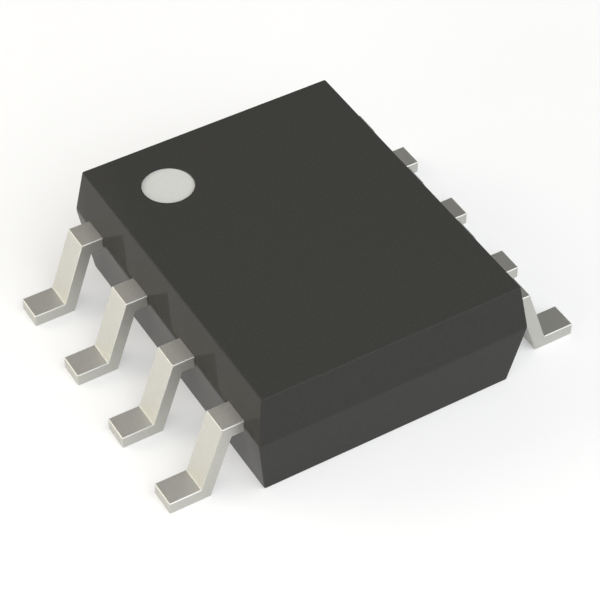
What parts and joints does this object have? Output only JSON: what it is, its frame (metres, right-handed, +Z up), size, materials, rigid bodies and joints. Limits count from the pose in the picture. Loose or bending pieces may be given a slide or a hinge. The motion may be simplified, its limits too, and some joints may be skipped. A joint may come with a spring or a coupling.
{
  "type": "flash memory chip",
  "caption": "Small-outline flash memory chip: dark moulded body with drafted walls, gull-wing leads along both long sides and a round pin 1 mark.",
  "frame": {"origin": "on the board surface that the feet stand on, under the middle of the body", "axes": "+Z up through the marked top; +X across the two rows of leads, away from pin 1's row; +Y along the rows, towards pin 1's end"},
  "size_m": [0.0062, 0.005, 0.0017],
  "materials": {
    "mold_compound": "dark grey moulded epoxy, satin",
    "tin_plate": "matt tin plating on copper alloy",
    "copper_alloy": "bare copper alloy sheet",
    "silver_adhesive": "silver-filled epoxy adhesive",
    "silicon": "polished silicon",
    "gold_wire": "drawn gold wire",
    "mark_ink": "pale marking ink"
  },
  "bodies": {
    "root": {"molded_body": "mold_compound", "lead_1": "tin_plate", "lead_2": "tin_plate", "lead_3": "tin_plate", "lead_4": "tin_plate", "lead_5": "tin_plate", "lead_6": "tin_plate", "lead_7": "tin_plate", "lead_8": "tin_plate", "pin_1_dot": "mark_ink", "die_paddle": "copper_alloy", "die_attach": "silver_adhesive", "silicon_die": "silicon", "bond_wire_1": "gold_wire", "bond_wire_2": "gold_wire", "bond_wire_3": "gold_wire", "bond_wire_4": "gold_wire", "bond_wire_5": "gold_wire", "bond_wire_6": "gold_wire", "bond_wire_7": "gold_wire", "bond_wire_8": "gold_wire"}
  },
  "joints": []
}
